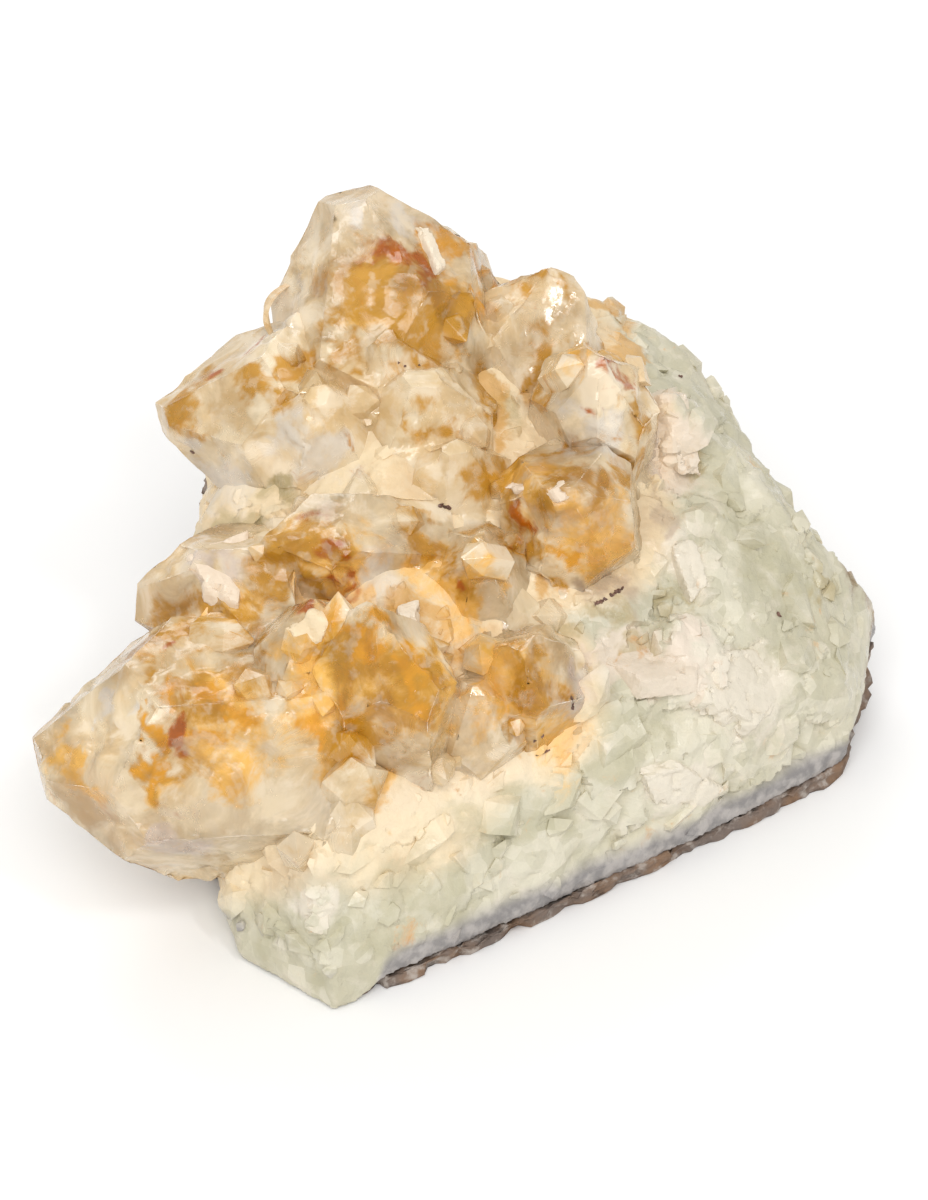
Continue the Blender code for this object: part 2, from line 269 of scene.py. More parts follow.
# Colours, as linear light
PALE_GREEN = (0.52, 0.49, 0.36)
GREEN_WHITE = (0.68, 0.64, 0.51)
# Dark green of the green patches, also painted as shade in the pits of the broken wall
GREEN_PATCH_AND_PIT_SHADE = (0.45, 0.42, 0.27)
OLIVE = (0.42, 0.33, 0.15)
SNOW_WHITE = (0.80, 0.72, 0.61)
PINK_WHITE = (0.78, 0.65, 0.54)
PEACH = (0.80, 0.58, 0.31)
MILK_WHITE = (0.84, 0.69, 0.46)
GOLD = (0.92, 0.50, 0.08)
AMBER = (0.60, 0.29, 0.02)
ORANGE = (0.80, 0.36, 0.02)
DEEP_AMBER = (0.48, 0.11, 0.0)
PEACH_WHITE = (0.88, 0.75, 0.56)
TAN = (0.68, 0.44, 0.17)
WARM_QUARTZ = (0.70, 0.54, 0.34)
UMBER = (0.42, 0.31, 0.22)
AGATE_GREY = (0.24, 0.225, 0.22)
AGATE_WHITE = (0.42, 0.39, 0.37)
RIND_DARK = (0.20, 0.155, 0.13)
RIND_RUST = (0.26, 0.155, 0.09)
RIND_PALE = (0.52, 0.46, 0.41)
IRON_BLACK = (0.09, 0.045, 0.03)
IRON_BROWN = (0.22, 0.12, 0.09)
CITRINE_GLOW = (0.97, 0.72, 0.28)
FLOOR_GREYS = ((0.90, 0.90, 0.90), (0.92, 0.92, 0.92))
DAYLIGHT = (1.0, 0.99, 0.97, 1.0)

QUARTZ_IOR = 1.544
CITRINE_DENSITY = 70.0
WORLD_STRENGTH = 0.7
# Area lights: name, place and size in metres, and power in watts
SOFTBOXES = (
    ("key", (-0.05, -0.55, 0.7), (0.5, 0.5), 3.6),
    ("glint", (0.3, -0.35, 0.7), (0.1, 0.1), 0.8),
    ("back", (-0.2, 0.6, 0.6), (0.5, 0.3), 1.5),
)
LIT_MIDDLE = Vector((0, 0, 0.03))
FLOOR_SIZE = 3.0
FLOOR_DROP = 0.0001

# Near corner of the foot, the way out of its left wall and the way along its right wall
FRONT_CORNER = np.array((-16.8, -49.6, 0.0))
FRONT_OUT = np.array((-0.637, -0.771, 0.0))
SIDE_ALONG = np.array((0.842, 0.539, 0.0))
FRONT_RIND_INSET = 4.0
FRONT_HEM = 2.0
FRONT_DEPTHS = (-9, -5)
FRONT_LENGTHS = (2, 9)
HEM_HEIGHTS = (3, 9)
RIND_TRIM = 0.2

CAMERA_ELEVATION = 40.0
CAMERA_DISTANCE = 620.0
CAMERA_TARGET = (0.0, 45.0, 30.0)
PICTURE_HEIGHT = 156.0
PHOTO_HEIGHT_PIXELS = 1200
PHOTO_MIDDLE = (464, 600)
PIXEL = PICTURE_HEIGHT / PHOTO_HEIGHT_PIXELS


class Crystal:
    """Where one crystal stands in the row frame."""

    def __init__(self, tip, root, radius, clear, amber):
        shift = Vector(TABLE_ORIGIN)
        self.tip = (Vector(tip) - shift) * MM
        self.root = (Vector(root) - shift) * MM
        self.radius = radius * MM
        self.clear = clear
        self.amber = amber
        self.length = (self.tip - self.root).length
        self.axis = (self.tip - self.root) / self.length

    def heights_and_radii(self, places, within=False):
        """How far up the crystal places in millimetres are, and how far out, as shares of it."""
        axis = np.array(self.axis)
        length = self.length / MM
        offset = places - np.array(self.root / MM)
        along = offset @ axis
        if within:
            along = np.clip(along, 0, length)
        out = np.linalg.norm(offset - along[:, None] * axis, axis=1)
        return along / length, out / (self.radius / MM)


crystals = [Crystal(*row) for row in CRYSTALS.values()]
clear_ones = [crystal for crystal in crystals if crystal.clear > MILKY_CLEARNESS]


def cad_builder(node):
    """A welded copy of a solid of the frame."""
    builder = bmesh.new()
    builder.from_mesh(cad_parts[node].data)
    bmesh.ops.remove_doubles(builder, verts=builder.verts, dist=1e-6)
    return builder


def nearest_of(trees, place):
    """The closest point to a place on any of some surfaces."""
    found = [tree.find_nearest(place) for tree in trees]
    return min(found, key=lambda item: item[3])[0]


def camera_frame():
    """The point that the camera looks at, and the picture's backward and upward directions."""
    elevation = math.radians(CAMERA_ELEVATION)
    target = (Vector(CAMERA_TARGET) - Vector(TABLE_ORIGIN)) * MM
    back = Vector((0, -math.cos(elevation), math.sin(elevation)))
    up = Vector((0, math.sin(elevation), math.cos(elevation)))
    return target, back, up


def seen_at(across, down):
    """Where the solids lie under one spot of the photograph, or the nearest place beside them."""
    target, back, up = camera_frame()
    right = Vector((1, 0, 0)) * (across - PHOTO_MIDDLE[0])
    aim = target + (right + up * (PHOTO_MIDDLE[1] - down)) * PIXEL * MM
    start = target + back * CAMERA_DISTANCE * MM
    hits = [tree.ray_cast(start, aim - start) for tree in solid_trees]
    hits = [hit for hit in hits if hit[0]]
    if hits:
        return min(hits, key=lambda hit: hit[3])[0]
    return nearest_of(solid_trees, aim)


def read_strokes():
    """Each kind's strokes as two ends and a radius, in millimetres in the row frame."""
    strokes = {}
    for kind, rows in MARKS.items():
        strokes[kind] = [
            (seen_at(left, top) / MM, seen_at(right, low) / MM, radius * PIXEL)
            for left, top, right, low, radius in rows
        ]
    strokes["rust"] = RUST_STROKES
    return strokes


def new_object(name, builder):
    """An object made from a filled bmesh."""
    mesh = bpy.data.meshes.new(name)
    builder.to_mesh(mesh)
    builder.free()
    mesh.validate()
    item = bpy.data.objects.new(name, mesh)
    bpy.context.scene.collection.objects.link(item)
    return item


def face_owner(centre, normal):
    """The crystal whose face this is, or None on broken quartz."""
    best, best_radial = None, OWNER_REACH
    for crystal in crystals:
        offset = centre - crystal.root
        along = offset.dot(crystal.axis)
        radial = (offset - crystal.axis * along).length / crystal.radius
        if along < -OWNER_SLACK or along > crystal.length + OWNER_SLACK or radial > best_radial:
            continue
        lean = normal.dot(crystal.axis)
        flat = abs(lean - PRISM_COSINE) < COSINE_SLACK or abs(lean - END_COSINE) < COSINE_SLACK
        near_tip = along > crystal.length - TIP_HEIGHT and radial < TIP_REACH
        if flat or (near_tip and lean > TIP_COSINE):
            best, best_radial = crystal, radial
    return best


def labelled():
    """A welded copy of the cluster whose clear faces carry their crystal's number plus one."""
    builder = cad_builder("citrine_cluster")
    builder.normal_update()
    for face in builder.faces:
        owner = face_owner(face.calc_center_median(), face.normal)
        face.material_index = crystals.index(owner) + 1 if owner in clear_ones else 0
    return builder


def is_broken(vert):
    """True where a vertex lies wholly on broken quartz."""
    return all(face.material_index == 0 for face in vert.link_faces)


def build_clear_crystals():
    """The crystals' glassy outside, closed by a skin that is sunk below the broken quartz."""
    builder = labelled()
    bmesh.ops.dissolve_limit(
        builder, angle_limit=FLAT_ANGLE, verts=builder.verts[:], edges=builder.edges[:],
        delimit={"MATERIAL"},
    )
    builder.normal_update()
    sharp = []
    for edge in builder.edges:
        if len(edge.link_faces) == 2 and all(face.material_index for face in edge.link_faces):
            if edge.is_convex and edge.calc_face_angle(0.0) > SHARP_ANGLE:
                sharp.append(edge)
    bmesh.ops.bevel(
        builder, geom=sharp, offset=EDGE_BEVEL, offset_type="OFFSET", segments=2, profile=0.6,
        affect="EDGES", clamp_overlap=True, material=-1,
    )
    builder.normal_update()
    moves = [(vert, vert.normal * -SKIN_SINK) for vert in builder.verts if is_broken(vert)]
    for vert, move in moves:
        vert.co += move
    bmesh.ops.triangulate(builder, faces=builder.faces[:])
    split_long_edges(builder, SKIN_EDGE)
    for face in builder.faces:
        face.material_index = 0
    return new_object("clear_crystals", builder)


def dress_skin(item, surface):
    """Weather the crystals' faces a little and note where they are amber, milky or white."""
    mesh = item.data
    places, normals = read_points(mesh)
    note_marks(mesh, places, surface)
    add_attribute(mesh, "clearness", nearest_crystals(places)[1])
    relief = grain_relief(places, *SKIN_GRAIN)
    relief = np.clip(relief - relief.mean(), -0.8, 0.6)
    fine = grain_relief(places, *SKIN_FINE_GRAIN)
    relief += 0.35 * np.clip(fine - fine.mean(), -0.5, 0.4)
    frost = np.array([noise.noise(Vector(place) * 0.11) for place in places])
    frost = smooth_step(frost, -0.1, 0.35)
    places = places + normals * (relief * (0.15 + 0.45 * frost) - 0.1)[:, None]
    write_points(mesh, places)
    add_attribute(mesh, "frost", frost)
    soften(mesh, SKIN_SMOOTH)


def soften(mesh, degrees):
    """Smooth shading between faces that meet at less than an angle."""
    mesh.polygons.foreach_set("use_smooth", [True] * len(mesh.polygons))
    mesh.set_sharp_from_angle(angle=math.radians(degrees))


def lies_within(tree, place, margin):
    """True when a point is inside a closed surface by more than a margin."""
    nearest, normal, _, away = tree.find_nearest(place)
    return (place - nearest).dot(normal) < 0 and away > margin


def add_hull(builder, corners):
    """Close the convex hull of some corners and drop the corners inside it."""
    hull = bmesh.ops.convex_hull(builder, input=corners, use_existing_faces=False)
    spare = [item for item in hull["geom_interior"] if isinstance(item, bmesh.types.BMVert)]
    bmesh.ops.delete(builder, geom=spare, context="VERTS")


def scattered(chance, *spreads):
    """A random vector whose parts have their own spreads."""
    return Vector([chance.gauss(0, spread) for spread in spreads])


def square_to(axis):
    """Two directions square to an axis and to each other."""
    side = axis.orthogonal().normalized()
    return side, axis.cross(side)


def add_small_crystal(builder, place, axis, radius, length, chance):
    """A six-sided crystal with uneven sides and an apex off its middle."""
    side, across = square_to(axis)
    turn = chance.uniform(0, math.tau)
    corners = []
    shoulder = length * chance.uniform(0.25, 0.6)
    for step in range(6):
        angle = turn + math.tau * step / 6
        out = (side * math.cos(angle) + across * math.sin(angle)) * radius * chance.uniform(0.8, 1.15)
        corners.append(builder.verts.new(place + out - axis * radius))
        corners.append(builder.verts.new(place + out + axis * shoulder))
    apex = shoulder + radius * 1.1
    for _ in range(2):
        lean = (side * chance.gauss(0, 1) + across * chance.gauss(0, 1)) * radius * 0.16
        corners.append(builder.verts.new(place + lean + axis * apex))
    add_hull(builder, corners)


def build_small_crystals():
    """Small crystals grown in the creases between the large ones."""
    chance = random.Random(SMALL_SEED)
    source = labelled()
    creases = []
    for edge in source.edges:
        labels = [face.material_index for face in edge.link_faces]
        if len(labels) != 2 or not any(labels) or edge.is_convex:
            continue
        middle = (edge.verts[0].co + edge.verts[1].co) / 2
        if middle.z > SMALL_LOWEST and edge.calc_face_angle(0.0) > CREASE_ANGLE:
            normal = (edge.link_faces[0].normal + edge.link_faces[1].normal).normalized()
            creases.append((edge.calc_length(), middle.copy(), normal))
    source.free()
    builder = bmesh.new()
    weights = [crease[0] for crease in creases]
    for _, place, normal in chance.choices(creases, weights=weights, k=SMALL_COUNT):
        axis = (normal + scattered(chance, 0.45, 0.45, 0.45)).normalized()
        radius = chance.uniform(1.1, 2.9) * MM
        add_small_crystal(builder, place - normal * radius * 0.6, axis, radius, radius * 1.6, chance)
    for across, down, radius in SEEN_CRYSTALS:
        axis = (CHIP_OUT + scattered(chance, 0.4, 0.3, 0.3)).normalized()
        radius *= MM
        place = seen_at(across, down) - axis * radius * 0.9
        add_small_crystal(builder, place, axis, radius, radius * 1.7, chance)
    bmesh.ops.bevel(
        builder, geom=builder.edges[:], offset=0.1 * MM, offset_type="OFFSET", segments=1,
        affect="EDGES", clamp_overlap=True, material=-1,
    )
    bmesh.ops.triangulate(builder, faces=builder.faces[:])
    return new_object("small_crystals", builder)


def dress_small_crystals(item, surface):
    """Give the small crystals the colours of the place they grow at."""
    mesh = item.data
    note_marks(mesh, read_points(mesh)[0], surface, 0.2)
    add_number(mesh, "clearness", 0.3)
    add_number(mesh, "frost", 0.4)


def add_veil(builder, crystal, chance, skin):
    """One thin fracture plane in a crystal, and how amber it is."""
    height = chance.uniform(0.35, 0.9)
    reach = crystal.radius * min(1.0, 1.5 * (1 - height) + 0.25)
    turn = chance.uniform(0, math.tau)
    side, across = square_to(crystal.axis)
    out = side * math.cos(turn) + across * math.sin(turn)
    place = crystal.root + crystal.axis * crystal.length * height + out * reach * chance.uniform(0.35, 0.7)
    face = out * chance.uniform(0.2, 1) + crystal.axis * chance.gauss(0, 0.5)
    face = (face + across * chance.gauss(0, 0.6)).normalized()
    first, second = square_to(face)
    size = crystal.radius * chance.uniform(0.12, 0.32)
    length = chance.uniform(1.0, 2.4)
    places = []
    for step in range(6):
        angle = math.tau * (step + chance.uniform(-0.3, 0.3)) / 6
        spread = chance.uniform(0.6, 1.1)
        flat = first * math.cos(angle) * length * spread + second * math.sin(angle) * spread
        curl = face * (math.cos(angle) ** 2) * chance.uniform(0, 0.2)
        places.append(place + (flat + curl) * size)
    if not all(lies_within(skin, place, VEIL_MARGIN) for place in places):
        return None
    corners = []
    for place in places:
        for level in (-0.5, 0.5):
            corners.append(builder.verts.new(place + face * VEIL_THICKNESS * level))
    add_hull(builder, corners)
    return chance.random() * (0.4 + crystal.amber)


def build_veils(skin):
    """Fracture planes sealed in the crystals."""
    chance = random.Random(VEIL_SEED)
    builder = bmesh.new()
    warmth = []
    for crystal in clear_ones:
        for _ in range(VEIL_TRIES):
            before = len(builder.verts)
            warm = add_veil(builder, crystal, chance, skin)
            warmth += [warm] * (len(builder.verts) - before)
    item = new_object("veils", builder)
    add_attribute(item.data, "warmth", warmth)
    return item


def build_inclusions(trees):
    """Small dark grains at and just under the surface."""
    chance = random.Random(INCLUSION_SEED)
    builder = bmesh.new()
    for first, last, radius in STROKES["dark"]:
        ends = [nearest_of(trees, Vector(end) * MM) for end in (first, last)]
        count = 2 + int((ends[1] - ends[0]).length / MM / max(radius, 0.1))
        for step in range(count):
            centre = ends[0].lerp(ends[1], step / (count - 1))
            corners = []
            for _ in range(INCLUSION_CORNERS):
                spread = scattered(chance, 1, 1, 1).normalized() * radius * MM
                corners.append(builder.verts.new(centre + spread * chance.uniform(0.6, 1.2)))
            add_hull(builder, corners)
    return new_object("dark_inclusions", builder)


def split_long_edges(builder, longest):
    """Halve edges until none is longer than a length."""
    for _ in range(5):
        edges = [edge for edge in builder.edges if edge.calc_length() > longest]
        if not edges:
            return
        bmesh.ops.subdivide_edges(builder, edges=edges, cuts=1)
        bmesh.ops.triangulate(builder, faces=builder.faces[:])


def heart_depth(crystal):
    """How far the milky heart lies under a crystal's faces."""
    return crystal.radius * (HEART_DEPTH_SHARE_MILKY + HEART_DEPTH_SHARE_CLEAR * crystal.clear)


def shrink_into_crystal(vert, crystal, share):
    """Move a vertex of a crystal's face inwards to where the milky heart ends."""
    offset = vert.co - crystal.root
    along = offset.dot(crystal.axis)
    radial = offset - crystal.axis * along
    depth = heart_depth(crystal) * share
    height = max(0.0, min(1.0, along / crystal.length))
    wobble = 1 + 0.6 * noise.noise(vert.co / MM * 0.3)
    if radial.length > depth:
        vert.co -= radial.normalized() * depth * wobble * (0.4 + 0.6 * height)
    else:
        vert.co -= radial
    vert.co -= crystal.axis * depth * HEART_TIP_DROP * height * height * wobble


def add_block(builder, place, normal, size, chance):
    """One angular grain of quartz, half out of the wall."""
    side, across = square_to(normal)
    corners = []
    for _ in range(BLOCK_CORNERS):
        direction = scattered(chance, 1, 1, 1).normalized()
        spread = side * direction.x * 1.25 + across * direction.y + normal * direction.z * 0.75
        corners.append(builder.verts.new(place + spread * size))
    add_hull(builder, corners)


def build_wall_grains():
    """Angular grains that stand out of the broken wall, larger ones where they were seen."""
    chance = random.Random(BLOCK_SEED)
    source = labelled()
    bmesh.ops.triangulate(source, faces=source.faces[:])
    broken = [face for face in source.faces if face.material_index == 0]
    broken = [face for face in broken if face.calc_center_median().z > GRAIN_LOWEST]
    broken = [face for face in broken if face.normal.z > -0.3]
    weights = [face.calc_area() for face in broken]
    builder = bmesh.new()
    for face in chance.choices(broken, weights=weights, k=GRAIN_COUNT):
        first, second, third = [vert.co for vert in face.verts]
        place = first.lerp(second, chance.random()).lerp(third, chance.random())
        size = chance.uniform(0.7, 2.2) * MM
        add_block(builder, place - face.normal * size * 0.35, face.normal, size, chance)
    tree = BVHTree.FromBMesh(source)
    for across, down, size in BLOCKS:
        nearest, normal = tree.find_nearest(seen_at(across, down))[:2]
        add_block(builder, nearest - normal * size * MM * 0.35, normal, size * MM, chance)
    source.free()
    return new_object("wall_grains", builder)


def build_chips():
    """Chips and blades of crystal, each with one flattish face turned outwards."""
    builder = bmesh.new()
    middles = []
    for kind, face in CHIPS:
        points = [seen_at(*corner) for corner in face]
        middle = sum(points, Vector()) / len(points)
        out = (points[1] - points[0]).cross(points[2] - points[0]).normalized()
        if out.dot(CHIP_OUT) < 0:
            out = -out
        corners = []
        for point in points:
            flat = point - out * (point - middle).dot(out)
            corners.append(builder.verts.new(flat + out * CHIP_RISE))
            corners.append(builder.verts.new(middle.lerp(flat, 1.15) - out * CHIP_ROOT))
        bmesh.ops.convex_hull(builder, input=corners, use_existing_faces=False)
        middles.append(middle / MM)
    item = new_object("chips", builder)
    remesh(item, CHIP_VOXEL)
    mesh = item.data
    places, normals = read_points(mesh)
    away = [np.linalg.norm(places - np.array(middle), axis=1) for middle in middles]
    owner = np.argmin(away, axis=0)
    for kind in PATCHES:
        own = np.array([float(kind == row[0]) for row in CHIPS])
        add_attribute(mesh, kind, own[owner])
    relief = np.clip(grain_relief(places, *CHIP_GRAIN), -0.9, 0.5)
    write_points(mesh, places + normals * (0.6 * (relief - relief.mean()))[:, None])
    note_quartz(mesh, places, 0.0, FAR_GAP, GRAIN_LEVEL)
    soften(mesh, CHIP_SMOOTH)
    return item


def build_heart():
    """Milky quartz: the broken wall itself, and the cloudy inside of each crystal."""
    builder = labelled()
    bmesh.ops.triangulate(builder, faces=builder.faces[:])
    split_long_edges(builder, HEART_EDGE)
    for vert in builder.verts:
        labels = [face.material_index for face in vert.link_faces]
        inside = [label for label in labels if label]
        if not inside:
            continue
        crystal = crystals[max(set(inside), key=inside.count) - 1]
        share = 1.0 if len(inside) == len(labels) else 0.35
        shrink_into_crystal(vert, crystal, share)
    item = new_object("milky_quartz", builder)
    remesh(item, HEART_VOXEL)
    return item


def remesh(item, voxel):
    """Give an object one closed even mesh."""
    modifier = item.modifiers.new("even mesh", "REMESH")
    modifier.mode = "VOXEL"
    modifier.voxel_size = voxel
    graph = bpy.context.evaluated_depsgraph_get()
    mesh = bpy.data.meshes.new_from_object(item.evaluated_get(graph))
    old = item.data
    item.modifiers.clear()
    item.data = mesh
    bpy.data.meshes.remove(old)


def read_points(mesh):
    """Vertex places and normals as arrays, in millimetres and unit vectors."""
    count = len(mesh.vertices)
    places = np.empty(count * 3, np.float32)
    normals = np.empty(count * 3, np.float32)
    mesh.vertices.foreach_get("co", places)
    mesh.vertex_normals.foreach_get("vector", normals)
    return places.reshape(-1, 3) / MM, normals.reshape(-1, 3)


def write_points(mesh, places):
    """Put the vertices at new places, given in millimetres."""
    mesh.vertices.foreach_set("co", (places * MM).astype(np.float32).ravel())
    mesh.update()


def add_attribute(mesh, name, values):
    """A number for each vertex, which the materials read by name."""
    layer = mesh.attributes.new(name, "FLOAT", "POINT")
    layer.data.foreach_set("value", np.array(values, np.float32))


def add_number(mesh, name, value):
    """The same number for every vertex."""
    add_attribute(mesh, name, np.full(len(mesh.vertices), value))


def note_quartz(mesh, places, amber, gap, relief):
    """Keep what the milky quartz material reads; each is an array or one number for all."""
    add_attribute(mesh, "warm", warmth_of(places))
    for name, values in (("tip_amber", amber), ("rind_gap", gap), ("relief", relief)):
        add_attribute(mesh, name, np.broadcast_to(values, len(places)))


def smooth_step(values, low, high):
    """0 below low, 1 above high and a soft slope between."""
    part = np.clip((values - low) / (high - low), 0, 1)
    return part * part * (3 - 2 * part)


def grain_relief(places, spacing, sides, seed):
    """Height of a surface packed with angular grains: each is cut flat by a few planes."""
    chance = np.random.default_rng(seed)
    low = places.min(0) - spacing
    size = places.max(0) + spacing - low
    count = int(np.prod(size / spacing))
    seeds = low + chance.random((count, 3)) * size
    planes = chance.normal(0, 1, (count, sides, 3))
    planes /= np.linalg.norm(planes, axis=2, keepdims=True)
    radii = spacing * chance.uniform(0.35, 0.75, count)
    tree = KDTree(count)
    for index, place in enumerate(seeds):
        tree.insert(place, index)
    tree.balance()
    near = np.array([[found[1] for found in tree.find_n(place, 3)] for place in places])
    offsets = places[:, None, :] - seeds[near]
    reach = np.einsum("nkc,nksc->nks", offsets, planes[near]).max(2)
    return (radii[near] - reach).max(1)


def crystal_fields(places):
    """How far each place is inside a clear crystal, and how amber that is there."""
    inside = np.zeros(len(places))
    amber = np.zeros(len(places))
    for crystal in clear_ones:
        height, radial = crystal.heights_and_radii(places)
        near = (1 - smooth_step(radial, *CRYSTAL_RIM)) * smooth_step(height, *CRYSTAL_FOOT)
        better = near > inside
        inside[better] = near[better]
        amber[better] = crystal.amber * smooth_step(height[better], *CRYSTAL_AMBER)
    return inside, amber


def nearest_crystals(places):
    """How many radii each place is from the nearest clear crystal, and how clear that is."""
    best = np.full(len(places), 9.0)
    clear = np.zeros(len(places))
    for crystal in clear_ones:
        away = crystal.heights_and_radii(places, within=True)[1]
        nearer = away < best
        best[nearer] = away[nearer]
        clear[nearer] = crystal.clear
    return best, clear


def stroke_weight(places, first, last, radius):
    """1 near a stroke between two points, falling to 0 outside its radius."""
    first, last = np.array(first, float), np.array(last, float)
    span = last - first
    length = max(span @ span, 1e-9)
    part = np.clip((places - first) @ span / length, 0, 1)
    away = np.linalg.norm(places - first - part[:, None] * span, axis=1)
    return 1 - smooth_step(away / radius, 0.2, 2.0)


def wandering(places, reach, grain, shift):
    """The places moved by smooth noise, so that what is drawn on them has uneven edges."""
    starts = [Vector((shift + step * 19.0, 0, step * 7.0)) for step in range(3)]
    moves = [[noise.noise(Vector(place) * grain + start) for start in starts] for place in places]
    return places + np.array(moves) * reach


def mark_weights(places, kind, surface, spread):
    """Where the patches of one kind lie, once their ends are brought onto the surface."""
    total = np.zeros(len(places))
    for first, last, radius in STROKES[kind]:
        ends = [surface.find_nearest(Vector(end) * MM)[0] / MM for end in (first, last)]
        total = np.maximum(total, stroke_weight(places, *ends, radius * MARK_SPREAD + spread))
    return total


def front_mask(places):
    """1 at the near left edge of the foot, where quartz and not rock reaches the floor."""
    offset = places - FRONT_CORNER
    near_left = smooth_step(offset @ FRONT_OUT, *FRONT_DEPTHS)
    return near_left * (1 - smooth_step(offset @ SIDE_ALONG, *FRONT_LENGTHS))


def tree_of(item):
    """A search tree over an object's faces."""
    builder = bmesh.new()
    builder.from_mesh(item.data)
    tree = BVHTree.FromBMesh(builder)
    builder.free()
    return tree


def note_marks(mesh, places, surface, spread=0.3):
    """Keep the weight of every kind of patch on the mesh."""
    places = wandering(wandering(places, 4.0, 0.22, 3.0), 1.6, 0.7, 11.0)
    for kind in PATCHES:
        add_attribute(mesh, kind, mark_weights(places, kind, surface, spread))


def warmth_of(places):
    """1 in and around the crystals, where the quartz is peach, and 0 out on the green wall."""
    return 1 - smooth_step(nearest_crystals(places)[0], *WARM_REACH)


def rind_distance(places):
    """How far each place is from the rock skin, in millimetres."""
    return np.array([solid_trees[1].find_nearest(Vector(place) * MM)[3] / MM for place in places])


def dress_grains(item, surface):
    """Give the grains the colours of the wall they stand in."""
    mesh = item.data
    places = read_points(mesh)[0]
    amber = crystal_fields(places)[1]
    note_marks(mesh, places, surface, 0.8)
    note_quartz(mesh, places, amber, rind_distance(places), GRAIN_LEVEL)


def dress_heart(item):
    """Break the milky quartz into facets and note what its material needs at each place."""
    mesh = item.data
    places, normals = read_points(mesh)
    inside, amber = crystal_fields(places)
    gap = rind_distance(places)
    surface = tree_of(item)
    note_marks(mesh, places, surface)
    broken = 1 - inside
    band = 1 - smooth_step(gap, AGATE_DEPTH - 0.4, AGATE_DEPTH + 1.2)
    rough = broken * (1 - 0.9 * band)
    large = np.clip(grain_relief(places, *HEART_GRAIN), -2.4, 2.4)
    small = np.clip(grain_relief(places, *HEART_FINE_GRAIN), -1.2, 1.2)
    relief = 0.24 * (large - large.mean()) + 0.26 * (small - small.mean())
    relief = np.clip(relief, -1.2, 0.8)
    places = places + normals * (relief * (0.15 + 0.85 * rough))[:, None]
    hem = front_mask(places) * (1 - smooth_step(places[:, 2], *HEM_HEIGHTS))
    places[:, 2] -= FRONT_HEM * hem
    write_points(mesh, places)
    note_quartz(mesh, places, amber, gap + FAR_GAP * front_mask(places), relief)
    soften(mesh, HEART_SMOOTH)


class Shader:
    """A material under construction, with short ways to add and join nodes."""

    def __init__(self, name):
        self.material = bpy.data.materials.new(name)
        self.material.use_nodes = True
        self.tree = self.material.node_tree
        self.principled = self.tree.nodes["Principled BSDF"]
        self.output = self.tree.nodes["Material Output"]

    def node(self, kind, settings=None, inputs=None):
        """A node with settings and inputs; an input that is a socket is joined."""
        made = self.tree.nodes.new(kind)
        for key, value in (settings or {}).items():
            setattr(made, key, value)
        for key, value in (inputs or {}).items():
            self.feed(made.inputs[key], value)
        return made

    def feed(self, socket, value):
        """Give an input a number or a colour, or join it to another node's output."""
        if isinstance(value, bpy.types.NodeSocket):
            self.tree.links.new(value, socket)
        else:
            socket.default_value = (*value, 1.0) if isinstance(value, tuple) else value

    def attribute(self, name):
        """A number kept on the mesh."""
        return self.node("ShaderNodeAttribute", {"attribute_name": name}).outputs["Fac"]

    def position(self):
        """The place on the object."""
        return self.node("ShaderNodeTexCoord").outputs["Object"]

    def noise(self, scale, detail=4.0, rough=0.55, distortion=0.0):
        """Cloudy noise."""
        made = self.node("ShaderNodeTexNoise", None, {
            "Vector": self.position(), "Scale": scale, "Detail": detail,
            "Roughness": rough, "Distortion": distortion,
        })
        return made.outputs["Fac"]

    def cloud(self, scale, detail, *limits):
        """Cloudy noise through a soft step."""
        return self.ranged(self.noise(scale, detail), *limits)

    def cells(self, scale, output="Distance"):
        """Cell noise."""
        made = self.node("ShaderNodeTexVoronoi", None, {"Vector": self.position(), "Scale": scale})
        return made.outputs[output]

    def maths(self, operation, first, second):
        """One step of arithmetic."""
        made = self.node("ShaderNodeMath", {"operation": operation})
        self.feed(made.inputs[0], first)
        self.feed(made.inputs[1], second)
        return made.outputs[0]

    def plus(self, first, second, share):
        """A value with a share of another added."""
        return self.maths("ADD", first, self.maths("MULTIPLY", second, share))

    def ranged(self, value, low, high, to_low=0.0, to_high=1.0):
        """A soft step."""
        made = self.node("ShaderNodeMapRange", {"interpolation_type": "SMOOTHSTEP"}, {
            "Value": value, "From Min": low, "From Max": high, "To Min": to_low, "To Max": to_high,
        })
        return made.outputs["Result"]

    def mix(self, factor, first, second):
        """One colour laid over another."""
        made = self.node("ShaderNodeMix", {"data_type": "RGBA"})
        self.feed(made.inputs["Factor"], factor)
        colours = [socket for socket in made.inputs if socket.type == "RGBA"]
        for socket, value in zip(colours, (first, second)):
            self.feed(socket, value)
        return [socket for socket in made.outputs if socket.type == "RGBA"][0]

    def bump(self, height, distance, strength, normal=None):
        """Fine relief."""
        sizes = {"Height": height, "Distance": distance, "Strength": strength}
        made = self.node("ShaderNodeBump", None, sizes)
        if normal:
            self.feed(made.inputs["Normal"], normal)
        return made.outputs["Normal"]

    def finish(self, values):
        """Set the Principled shader's inputs."""
        for key, value in values.items():
            self.feed(self.principled.inputs[key], value)
        return self.material


